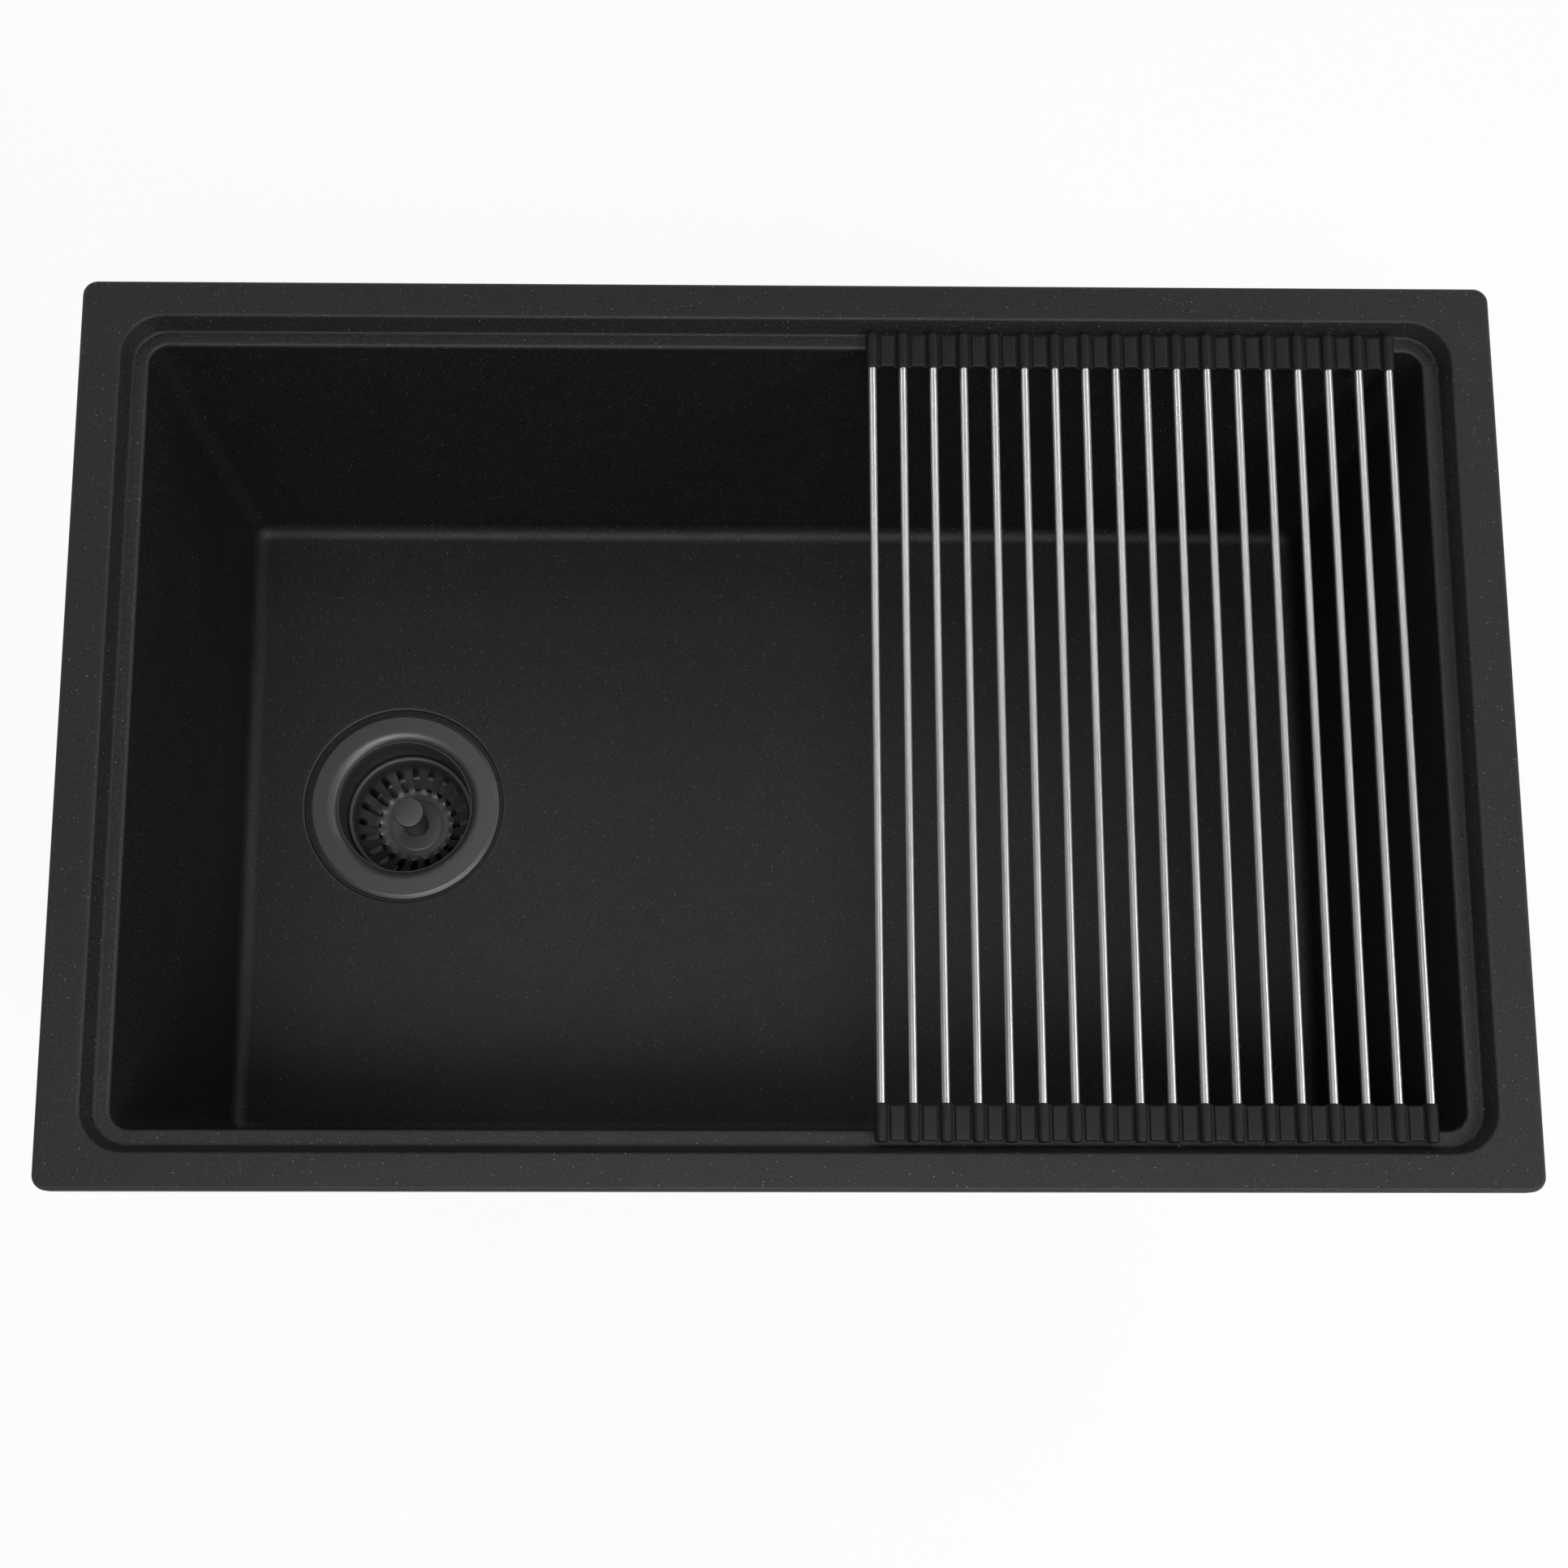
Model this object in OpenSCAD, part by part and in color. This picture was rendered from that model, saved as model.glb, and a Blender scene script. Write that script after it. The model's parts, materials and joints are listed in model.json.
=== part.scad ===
// Workstation kitchen sink: one stone-composite bowl with a stepped accessory ledge,
// a roll-up drying rack, a basket strainer with its tailpiece, and six worktop clips.
// Z = 0 is the worktop's top face. X runs to the right and Y to the back.

/* [Rim] */
// Width of the rim, left to right
sink_w = 762; // [700:1:900]
// Depth of the rim, front to back
sink_d = 490; // [470:1:560]
// Height of the rim above the worktop
rim_t = 9; // [8:0.5:12]
// Flat of the rim on the left and the right
rim_side = 22; // [20:0.5:30]
// Flat of the rim at the back
rim_back = 20; // [18:0.5:60]
// Flat of the rim at the front
rim_front = 19; // [18:0.5:40]
// Corner radius of the rim's outline
rim_corner = 8; // [4:0.5:20]
// Width of the band that rests on the worktop
land_w = 9; // [6:0.5:10]
// Depth of the sealant groove inside that band
groove_h = 1.5; // [0.5:0.25:3]

/* [Bowl] */
// Corner radius at the top of the step
step_corner = 23; // [20:0.5:32]
// Depth of the accessory ledge below the rim's top
step_h = 9.5; // [8:0.5:14]
// Lean of the step's wall
step_run = 4.5; // [2:0.5:6]
// Width of the accessory ledge
ledge_w = 8; // [6:0.5:12]
// Depth of the floor below the rim's top
bowl_h = 222; // [180:1:260]
// Lean of the left and right walls over their height
draft_side = 8; // [2:0.5:20]
// Lean of the front and back walls over their height
draft_end = 14; // [2:0.5:24]
// Radius between the floor and the walls
floor_fillet = 9; // [6:0.5:16]
// Radius of the step's edges
edge_r = 1.8; // [1:0.1:2.5]
// Thickness of the walls
wall_t = 8; // [6:0.5:9]
// Thickness of the floor
floor_t = 9; // [7:0.5:14]

/* [Drain] */
// Distance of the drain from the left end of the rim
drain_side = 143; // [136:1:381]
// Place of the drain, from the middle of the rim towards the back
drain_back = 12; // [-40:1:60]
// Diameter of the drain hole in the floor
drain_hole_d = 90; // [88:0.5:94]
// Depth of the seat that the flange lies in
seat_h = 3; // [2.5:0.25:4]
// Gap around the flange in its seat
seat_gap = 2.5; // [1:0.25:5]
// Diameter of the strainer's flange
flange_d = 122; // [116:1:126]
// Radius where the flange turns down into the throat
throat_r = 7.5; // [5:0.5:9]
// Bore of the throat
throat_d = 83.2; // [82:0.2:84]
// Depth of the strainer's body below the floor
body_h = 66; // [64:1:90]
// Width of the foam gasket under the flange's edge
gasket_w = 8; // [5:0.5:12]
// Thickness of the strainer's sheet
sheet_t = 1.4; // [1:0.1:2]
// Bore of the outlet neck
neck_bore = 40; // [36:0.5:41]
// Length of the outlet neck
neck_h = 18; // [16:1:24]
// Outer diameter of the tailpiece
tail_d = 38.1; // [31.8, 38.1]
// Wall of the tailpiece
tail_wall = 1.6; // [1:0.1:2]
// Length of the tailpiece below its nut
tail_len = 58; // [40:1:120]

/* [Basket] */
// Diameter of the basket's rolled rim
basket_d = 81.6; // [80:0.2:81.6]
// Depth of the basket's rim below the floor
basket_drop = 28; // [22:1:30]
// Depth of the basket from its rim to its floor
basket_h = 24; // [20:1:26]
// Diameter of the basket's flat floor
basket_floor_d = 48; // [44:1:54]
// Slots around the basket
slot_n = 20; // [12:1:22]
// Width of a slot
slot_w = 4.4; // [3:0.1:4.8]
// Diameter of the plate under the knob
plate_d = 36; // [30:1:42]
// Diameter of the knob's head
knob_d = 19.6; // [17:0.2:24]
// Height of the knob above the basket's floor
knob_h = 35; // [25:1:40]
// Diameter of the stopper seal
seal_d = 54; // [46:1:60]

/* [Rack] */
// Rods in the rack
rod_n = 18; // [8:1:18]
// Distance between two rods
rod_pitch = 16.5; // [15:0.5:18]
// Diameter of a rod
rod_d = 4.6; // [4:0.1:5]
// Outer diameter of the sleeve on a rod's end
sleeve_d = 6.8; // [6.4:0.1:8]
// Length of a sleeve along its rod
sleeve_len = 20; // [16:0.5:26]
// Thickness of the web between two sleeves
web_t = 3; // [2:0.1:4]
// How far a sleeve stands out past the web at each end
web_inset = 1; // [0.5:0.1:2]
// Silicone that closes the sleeve over the rod's end
sleeve_cap = 2; // [1:0.5:4]
// Distance from the last rod to the foot of the step on the right
rack_side = 28.25; // [12:0.25:300]
// Gap between the sleeves' ends and the foot of the step
rack_gap = 1.5; // [1:0.25:3]

/* [Clips] */
// Worktop thickness that the clips reach round
worktop_t = 20; // [16:1:22]
// Distance of the clips on the long sides from the ends of the rim
clip_side = 151; // [121:1:260]
// Length of a clip's arm from its screw
clip_len = 44; // [34:1:60]
// Width of a clip
clip_w = 12; // [11:0.5:12]
// Thickness of a clip
clip_t = 2.5; // [2:0.1:3]
// Diameter of the clips' screws
screw_d = 5; // [4:0.5:5]

/* [Hidden] */
$fn = 64;
slide_gap = 0.3;   // between pieces that slide or swing past each other
rest_gap = 0.5;    // between the rack's sleeves and the ledge
fit_gap = 0.03;    // between a rod and its sleeve, and a screw and its insert
nut_gap = 0.15;    // around threads
eps = 0.01;        // overlap of solids that are one piece
cut = 1;           // how far a cutter runs past the face that it opens
corner_steps = 8;  // facets in a corner of the bowl
bend_steps = 5;    // facets in a small bend of the bowl's section

stone = [0.13, 0.13, 0.14];
gunmetal = [0.28, 0.28, 0.29];
steel = [0.75, 0.75, 0.76];
silicone = [0.12, 0.12, 0.13];
rubber = [0.08, 0.08, 0.08];
zinc = [0.65, 0.66, 0.68];
brass = [0.75, 0.6, 0.3];
white_plastic = [0.85, 0.85, 0.85];

// Step and ledge
ledge_z = rim_t - step_h;
floor_z = rim_t - bowl_h;
foot_in = step_run;                 // inset of the step's foot from the step's top edge
mouth_in = step_run + ledge_w;      // inset of the bowl's mouth
bowl_corner = step_corner - mouth_in;
step_x = sink_w / 2 - rim_side;
step_front = -sink_d / 2 + rim_front;
step_back = sink_d / 2 - rim_back;
mid_y = (step_front + step_back) / 2;
under_z = floor_z - floor_t;
shell_top_z = groove_h + cut;
shelf_z = ledge_z - wall_t;         // underside of the ledge
shelf_slope = 10;                   // height over which the shell draws in below the ledge
under_fillet = 14;                  // radius around the underside
rim_edge_r = 2;
rim_foot = 0.4;                     // chamfer at the foot of the rim

// Strainer, all heights from the floor
drain = [-sink_w / 2 + drain_side, drain_back, floor_z];
lip_t = seat_h - 0.7;               // depth of the flange's edge below the floor
flange_top = 0.3;
flange_bevel = [2.7, 1.2];
gasket_t = seat_h - lip_t;
shoulder_z = -basket_drop - 2.5 - slide_gap;
shoulder_w = 2.6;                   // width of the shoulder that carries the basket
cup_taper = 0.6;
spread = 4;                         // radius at the bottom of the body
base_z = -body_h + 2;               // inside face of the body's base
thread_r = throat_d / 2 + sheet_t;
neck_r = neck_bore / 2 + 3.5;
neck_z = base_z - 2 - neck_h;
spider_t = 4;
spider_w = 3;
hub_r = 6.5;
spider_z = base_z - 11;
pad_r = flange_d / 2 + 10;
pad_h = 3;
washer_z = -floor_t - pad_h;        // underside of the floor around the drain
washer_t = 3.5;
ring_t = 1;
nut_h = 13;
nut_flange_h = 3;
nut_r = 56;
nut_body_r = 49;
lug_n = 6;
tail_washer_t = 2;
tail_flange_t = 2;
tail_shoulder = 4;                  // thicker length of the tailpiece inside the nut's lip
tail_step = 0.2;
tail_flange_r = neck_r - 0.7;
coupling_r = neck_r + 4.5;
coupling_lip = 3;
coupling_overlap = 14;
rib_n = 10;

// Basket, all heights from the floor
basket_floor_z = -basket_drop - basket_h;
basket_t = 1.2;
basket_rim_w = 2.6;
basket_rim_h = 2.5;
cone_top_z = basket_floor_z + 12;
cone_top_r = basket_d / 2 - 3.6;
slot_start_r = basket_floor_d / 2 + slot_w / 2 - 0.3;
plate_t = 1.2;
knob_top_z = basket_floor_z + knob_h + plate_t;
stem_r = 3.3;
collar_r = 6;
seal_t = 3.7;
seal_z = base_z + 0.4;
collar_z = seal_z + seal_t + slide_gap;
retainer_h = 4;
retainer_r = 6.5;
retainer_z = seal_z - slide_gap - retainer_h;
stem_tip_z = spider_z - 3;

// Rack
rack_len = step_back - step_front - 2 * foot_in - 2 * rack_gap;
rod_z = ledge_z + sleeve_d / 2 + rest_gap;
web_end = rod_pitch / 2 - slide_gap / 2;
web_tip = web_t / 2;                // length of the pointed end of a web
last_rod_x = step_x - foot_in - rack_side;
rod_x = [for (k = [0:rod_n - 1]) last_rod_x - (rod_n - 1 - k) * rod_pitch];

// Clips: the screw's axis stands clip_off outside the shell
clip_x = sink_w / 2 - clip_side;
clip_wall_gap = 1.5;
clip_off = clip_w / 2 + clip_wall_gap;
boss_w = 14;
boss_in = 12;                       // how far a boss reaches into the wall from its screw
boss_out = clip_w / 2 - 0.5;
clip_z = -worktop_t - 9;            // underside of a clip's arm
boss_z = clip_z + clip_t + slide_gap;
insert_r = screw_d / 2 + 1.2;
insert_h = 12;
screw_len = insert_h - 1;
head_r = screw_d - 0.2;
head_h = 3.2;
leg_top_z = -worktop_t - 0.5;
clip_long_y = [step_front + mouth_in - wall_t - clip_off, step_back - mouth_in + wall_t + clip_off];
clip_short_x = step_x - mouth_in + wall_t + clip_off;
clip_names = ["clip_back_left", "clip_back_right", "clip_front_left", "clip_front_right", "clip_left", "clip_right"];
// Each place is the screw's x and y and the heading of the worktop from it
clip_places = [
    [-clip_x, clip_long_y[1], 90],
    [clip_x, clip_long_y[1], 90],
    [-clip_x, clip_long_y[0], -90],
    [clip_x, clip_long_y[0], -90],
    [-clip_short_x, mid_y, 180],
    [clip_short_x, mid_y, 0]
];

function two_digits(k) = k < 10 ? str("0", k) : str(k);
rod_names = [for (k = [1:rod_n]) str("rack_rod_", two_digits(k))];
link_names = [for (k = [1:rod_n]) str("strip_link_", two_digits(k))];

// --- Sections and lofts ---

function unit(v) = v / norm(v);

// Arc that rounds the corner v between the points p and n, in count steps
function bend(p, v, n, r, count) =
    let(
        a = unit(p - v),
        b = unit(n - v),
        half = acos(a * b) / 2,
        start = v + a * r / tan(half),
        stop = v + b * r / tan(half),
        c = v + unit(a + b) * r / sin(half),
        a0 = atan2(start.y - c.y, start.x - c.x),
        a1 = atan2(stop.y - c.y, stop.x - c.x),
        turn = a1 - a0 > 180 ? a1 - a0 - 360 : a1 - a0 < -180 ? a1 - a0 + 360 : a1 - a0
    )
    [for (i = [0:count]) c + r * [cos(a0 + turn * i / count), sin(a0 + turn * i / count)]];

// Rounded rectangle from x0 to x1 and y0 to y1 at height z
function round_rect(x0, x1, y0, y1, r, z) =
    let(centres = [[x1 - r, y1 - r], [x0 + r, y1 - r], [x0 + r, y0 + r], [x1 - r, y0 + r]])
    [for (q = [0:3]) for (i = [0:corner_steps])
        let(a = 90 * q + 90 * i / corner_steps)
        [centres[q].x + r * cos(a), centres[q].y + r * sin(a), z]];

// Solid through a stack of rings, listed from the bottom up
module loft(rings) {
    n = len(rings[0]);
    top = (len(rings) - 1) * n;
    sides = [for (k = [0:len(rings) - 2]) for (i = [0:n - 1])
        let(a = k * n + i, b = k * n + (i + 1) % n)
        each [[a, a + n, b], [b, a + n, b + n]]];
    polyhedron(
        points = [for (r = rings) each r],
        faces = concat([[for (i = [0:n - 1]) i]], [[for (i = [n - 1:-1:0]) top + i]], sides)
    );
}

// Inset of the bowl's wall from the step's top edge, at height z
function wall_in(z) = mouth_in + draft_side * (ledge_z - z) / (ledge_z - floor_z);

// Corner radius at inset i and height z, for a skin that lies off outside the bowl's inner face
function corner_r(i, z, off) =
    i <= mouth_in - off ? step_corner - i
    : max(1, bowl_corner + off - max(0, i + off - wall_in(z)));

// Ring at inset i and height z: the front and back walls lean by their own draft
function bowl_ring(i, z, off) =
    let(
        fall = max(0, ledge_z - z) / (ledge_z - floor_z),
        end_i = i + (draft_end - draft_side) * fall
    )
    round_rect(-step_x + i, step_x - i, step_front + end_i, step_back - end_i, corner_r(i, z, off), z);

module bowl_space() {
    top = [0, rim_t];
    foot = [foot_in, ledge_z];
    mouth = [mouth_in, ledge_z];
    bottom = [mouth_in + draft_side, floor_z];
    middle = [mouth_in + draft_side + 100, floor_z];
    rounding = bend([-100, rim_t], top, foot, edge_r, bend_steps);
    section = concat(
        [[rounding[0].x, rim_t + cut]],
        rounding,
        bend(top, foot, mouth, edge_r, bend_steps),
        bend(foot, mouth, bottom, edge_r, bend_steps),
        bend(mouth, bottom, middle, floor_fillet, 2 * bend_steps)
    );
    n = len(section);
    loft([for (k = [n - 1:-1:0]) bowl_ring(section[k].x, section[k].y, 0)]);
}

module bowl_shell() {
    top = [foot_in - wall_t, shell_top_z];
    shelf = [foot_in - wall_t, shelf_z];
    neck = [mouth_in - wall_t, shelf_z - shelf_slope];
    bottom = [mouth_in + draft_side - wall_t, under_z];
    middle = [mouth_in + draft_side + 100, under_z];
    section = concat([top, shelf, neck], bend(neck, bottom, middle, under_fillet, 2 * bend_steps));
    n = len(section);
    loft([for (k = [n - 1:-1:0]) bowl_ring(section[k].x, section[k].y, wall_t)]);
}

module rim_plate() {
    edge = bend([0, 0], [0, rim_t], [100, rim_t], rim_edge_r, bend_steps);
    section = concat([[rim_foot, 0], [0, rim_foot]], edge);
    loft([for (s = section)
        round_rect(-sink_w / 2 + s.x, sink_w / 2 - s.x, -sink_d / 2 + s.x, sink_d / 2 - s.x,
            rim_corner - s.x, s.y)]);
}

module sealant_groove() {
    inside = max(1, rim_corner - land_w);
    loft([for (z = [-cut, groove_h])
        round_rect(-sink_w / 2 + land_w, sink_w / 2 - land_w, -sink_d / 2 + land_w, sink_d / 2 - land_w,
            inside, z)]);
}

module at_clips() {
    for (p = clip_places)
        translate([p.x, p.y, 0])
            rotate(p[2])
                children();
}

module clip_boss() {
    translate([-boss_in, -boss_w / 2, boss_z])
        cube([boss_in + boss_out, boss_w, groove_h + cut - boss_z]);
}

// --- Sink ---

module sink_bowl() {
    color(stone)
        difference() {
            union() {
                difference() {
                    rim_plate();
                    sealant_groove();
                }
                bowl_shell();
                at_clips() clip_boss();
                translate(drain + [0, 0, washer_z])
                    cylinder(r = pad_r, h = pad_h + cut);
            }
            bowl_space();
            translate(drain + [0, 0, washer_z - cut])
                cylinder(d = drain_hole_d, h = -washer_z + 2 * cut);
            translate(drain + [0, 0, -seat_h])
                cylinder(r = flange_d / 2 + seat_gap, h = seat_h + cut);
            at_clips()
                translate([0, 0, boss_z - cut])
                    cylinder(r = insert_r + fit_gap, h = insert_h + cut);
        }
}

// --- Strainer ---

module ring(inner_r, outer_r, z, h) {
    translate([0, 0, z])
        difference() {
            cylinder(r = outer_r, h = h);
            translate([0, 0, -cut])
                cylinder(r = inner_r, h = h + 2 * cut);
        }
}

module strainer_body() {
    inner = throat_d / 2;
    edge = flange_d / 2;
    seat_r = inner - shoulder_w;
    turn = bend([edge, flange_top], [inner, flange_top], [inner, -50], throat_r, 8);
    floor_bend = bend([seat_r, shoulder_z], [seat_r - cup_taper, base_z], [0, base_z], spread, 4);
    outer_low = inner - 1.2;
    section = concat(
        [[edge, -lip_t], [edge, flange_top - flange_bevel.y], [edge - flange_bevel.x, flange_top]],
        turn,
        [[inner, shoulder_z], [seat_r, shoulder_z]],
        floor_bend,
        [[neck_bore / 2, base_z], [neck_bore / 2, neck_z], [neck_r, neck_z], [neck_r, base_z - 2]],
        [[outer_low - spread, base_z - 2], [outer_low, base_z + spread - 2]],
        [[outer_low, shoulder_z - 14], [thread_r, shoulder_z - 14], [thread_r, -lip_t]]
    );
    color(gunmetal)
        translate(drain) {
            rotate_extrude($fn = 96)
                polygon(section);
            difference() {
                union() {
                    translate([0, 0, spider_z])
                        cylinder(r = hub_r, h = spider_t);
                    for (a = [0, 90])
                        rotate(a)
                            translate([-neck_bore / 2 - cut, -spider_w / 2, spider_z])
                                cube([neck_bore + 2 * cut, spider_w, spider_t]);
                }
                translate([0, 0, spider_z - cut])
                    cylinder(r = stem_r + slide_gap, h = spider_t + 2 * cut);
            }
        }
}

module flange_gasket() {
    color(white_plastic)
        translate(drain)
            ring(flange_d / 2 - 1 - gasket_w, flange_d / 2 - 1, -seat_h, gasket_t);
}

module rubber_washer() {
    color(rubber)
        translate(drain)
            ring(thread_r + nut_gap, nut_r, washer_z - washer_t, washer_t);
}

module friction_ring() {
    color(white_plastic)
        translate(drain)
            ring(thread_r + nut_gap, nut_r, washer_z - washer_t - ring_t, ring_t);
}

module lock_nut() {
    top = washer_z - washer_t - ring_t;
    color(zinc)
        translate(drain)
            difference() {
                union() {
                    translate([0, 0, top - nut_flange_h])
                        cylinder(r = nut_r, h = nut_flange_h);
                    translate([0, 0, top - nut_h])
                        cylinder(r = nut_body_r, h = nut_h);
                    for (k = [0:lug_n - 1])
                        rotate(360 / lug_n * k)
                            translate([nut_body_r - cut, -4, top - nut_h])
                                cube([nut_r - nut_body_r, 8, nut_h - eps]);
                }
                translate([0, 0, top - nut_h - cut])
                    cylinder(r = thread_r + nut_gap, h = nut_h + 2 * cut);
            }
}

module tailpiece_washer() {
    color(white_plastic)
        translate(drain)
            ring(tail_d / 2 - tail_wall, tail_flange_r, neck_z - tail_washer_t, tail_washer_t);
}

module tailpiece() {
    flange_z = neck_z - tail_washer_t - tail_flange_t;
    tube_r = tail_d / 2;
    color(zinc)
        translate(drain)
            difference() {
                union() {
                    translate([0, 0, flange_z])
                        cylinder(r = tail_flange_r, h = tail_flange_t);
                    translate([0, 0, flange_z - tail_shoulder])
                        cylinder(r = tube_r + tail_step, h = tail_shoulder + eps);
                    translate([0, 0, flange_z - tail_shoulder - tail_len])
                        cylinder(r = tube_r, h = tail_len + eps);
                }
                translate([0, 0, flange_z - tail_shoulder - tail_len - cut])
                    cylinder(r = tube_r - tail_wall, h = tail_shoulder + tail_len + tail_flange_t + 2 * cut);
            }
}

module coupling_nut() {
    flange_z = neck_z - tail_washer_t - tail_flange_t;
    h = coupling_overlap + tail_washer_t + tail_flange_t + coupling_lip;
    low = flange_z - coupling_lip;
    color(gunmetal)
        translate(drain)
            difference() {
                union() {
                    translate([0, 0, low])
                        cylinder(r = coupling_r - 1.2, h = h);
                    for (k = [0:rib_n - 1])
                        rotate(360 / rib_n * k)
                            translate([coupling_r - 4, -3, low])
                                cube([4, 6, h - 2]);
                }
                translate([0, 0, flange_z])
                    cylinder(r = neck_r + nut_gap, h = h);
                translate([0, 0, low - cut])
                    cylinder(r = tail_d / 2 + tail_step + nut_gap, h = h + cut);
            }
}

// --- Basket ---

module basket_cup() {
    rim_r = basket_d / 2;
    rim_in = rim_r - basket_rim_w;
    rim_top = -basket_drop;
    rim_low = rim_top - basket_rim_h;
    flat_r = basket_floor_d / 2;
    section = [
        [stem_r + nut_gap, basket_floor_z],
        [stem_r + nut_gap, basket_floor_z - basket_t],
        [flat_r, basket_floor_z - basket_t],
        [cone_top_r + 0.8, cone_top_z],
        [rim_in + 0.4, rim_low],
        [rim_r - 0.6, rim_low],
        [rim_r, rim_low + 0.6],
        [rim_r, rim_top - 0.8],
        [rim_r - 0.8, rim_top],
        [rim_in + 0.8, rim_top],
        [rim_in, rim_top - 0.8],
        [cone_top_r - 0.4, cone_top_z],
        [flat_r - 0.3, basket_floor_z]
    ];
    color(gunmetal)
        translate(drain)
            difference() {
                rotate_extrude($fn = 96)
                    polygon(section);
                for (k = [0:slot_n - 1])
                    rotate(360 / slot_n * k)
                        translate([slot_start_r, 0, basket_floor_z - basket_t - cut]) {
                            cylinder(d = slot_w, h = 11, $fn = 24);
                            translate([0, -slot_w / 2, 0])
                                cube([rim_r - slot_start_r, slot_w, 13]);
                        }
            }
}

module basket_plate() {
    color(gunmetal)
        translate(drain)
            ring(stem_r + nut_gap, plate_d / 2, basket_floor_z, plate_t);
}

module basket_knob() {
    low = basket_floor_z + plate_t;
    head = knob_d / 2;
    neck = head - 2;
    section = [
        [0, knob_top_z],
        [head - 0.7, knob_top_z],
        [head, knob_top_z - 0.7],
        [head, knob_top_z - 4.6],
        [neck, knob_top_z - 7],
        [neck, low + 3],
        [neck + 0.6, low],
        [stem_r + nut_gap, low],
        [stem_r + nut_gap, knob_top_z - 10],
        [0, knob_top_z - 10]
    ];
    color(gunmetal)
        translate(drain)
            rotate_extrude()
                polygon(section);
}

module basket_post() {
    tip = stem_r - 1;
    section = [
        [0, knob_top_z - 10.3],
        [stem_r, knob_top_z - 10.3],
        [stem_r, basket_floor_z - basket_t],
        [collar_r, basket_floor_z - basket_t],
        [collar_r, collar_z],
        [stem_r, collar_z],
        [stem_r, stem_tip_z + 1],
        [tip, stem_tip_z],
        [0, stem_tip_z]
    ];
    color(steel)
        translate(drain)
            rotate_extrude()
                polygon(section);
}

module stopper_seal() {
    edge = seal_d / 2;
    hole = stem_r + slide_gap;
    section = [
        [hole, seal_z],
        [edge - 3, seal_z],
        [edge, seal_z + 1.6],
        [edge, seal_z + seal_t - 0.8],
        [edge - 0.8, seal_z + seal_t],
        [hole, seal_z + seal_t]
    ];
    color(rubber)
        translate(drain)
            rotate_extrude()
                polygon(section);
}

module seal_retainer() {
    color(steel)
        translate(drain + [0, 0, retainer_z])
            difference() {
                cylinder(r = retainer_r, h = retainer_h, $fn = 6);
                translate([0, 0, -cut])
                    cylinder(r = stem_r + fit_gap, h = retainer_h + 2 * cut);
            }
}

// --- Rack ---

module at_rod(k) {
    translate([rod_x[k], mid_y, rod_z])
        children();
}

module rack_rod(k) {
    len = rack_len - 2 * sleeve_cap;
    color(steel)
        at_rod(k)
            rotate([90, 0, 0])
                cylinder(d = rod_d, h = len, center = true, $fn = 32);
}

// Half of the web between two sleeves, pointed where it folds
module half_web(side) {
    root = rod_d / 2 + 0.4;
    mirror([side < 0 ? 1 : 0, 0, 0])
        rotate([90, 0, 0])
            linear_extrude(sleeve_len - 2 * web_inset, center = true)
                polygon([
                    [root, -web_t / 2], [web_end - web_tip, -web_t / 2], [web_end, 0],
                    [web_end - web_tip, web_t / 2], [root, web_t / 2]
                ]);
}

module strip_link(k) {
    reach = (rack_len - sleeve_len) / 2;
    color(silicone)
        at_rod(k)
            for (end = [-1, 1])
                difference() {
                    translate([0, end * reach, 0]) {
                        rotate([90, 0, 0])
                            cylinder(d = sleeve_d, h = sleeve_len, center = true, $fn = 32);
                        if (k > 0)
                            half_web(-1);
                        if (k < rod_n - 1)
                            half_web(1);
                    }
                    rotate([90, 0, 0])
                        cylinder(r = rod_d / 2 + fit_gap, h = rack_len - 2 * sleeve_cap, center = true, $fn = 32);
                }
}

// --- Clips ---

module clip() {
    translate([0, 0, clip_z])
        difference() {
            union() {
                cylinder(d = clip_w, h = clip_t);
                translate([-clip_w / 2, 0, 0])
                    cube([clip_w, clip_len, clip_t]);
                translate([-clip_w / 2, clip_len - clip_t, 0])
                    cube([clip_w, clip_t, leg_top_z - clip_z]);
            }
            translate([0, 0, -cut])
                cylinder(r = screw_d / 2 + slide_gap, h = clip_t + 2 * cut);
        }
}

module one_clip(k) {
    p = clip_places[k];
    color(zinc)
        translate([p.x, p.y, 0])
            rotate(p[2])
                clip();
}

module clip_screws() {
    low = clip_z - slide_gap - head_h;
    color(steel)
        at_clips()
            difference() {
                union() {
                    translate([0, 0, low])
                        cylinder(r = head_r, h = head_h);
                    translate([0, 0, low])
                        cylinder(d = screw_d, h = boss_z + screw_len - low, $fn = 32);
                }
                for (a = [0, 90])
                    rotate(a)
                        translate([-head_r * 0.6, -0.5, low - cut])
                            cube([head_r * 1.2, 1, cut + 1.4]);
            }
}

module clip_inserts() {
    color(brass)
        at_clips()
            ring(screw_d / 2 + fit_gap, insert_r, boss_z, insert_h);
}

sink_bowl();
strainer_body();
flange_gasket();
rubber_washer();
friction_ring();
lock_nut();
tailpiece();
tailpiece_washer();
coupling_nut();
basket_cup();
basket_plate();
basket_knob();
basket_post();
stopper_seal();
seal_retainer();
for (k = [0:rod_n - 1]) rack_rod(k);
for (k = [0:rod_n - 1]) strip_link(k);
for (k = [0:len(clip_names) - 1]) one_clip(k);
clip_screws();
clip_inserts();
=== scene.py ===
import json
import math

import bmesh
import bpy
from mathutils import Matrix, Vector


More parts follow.
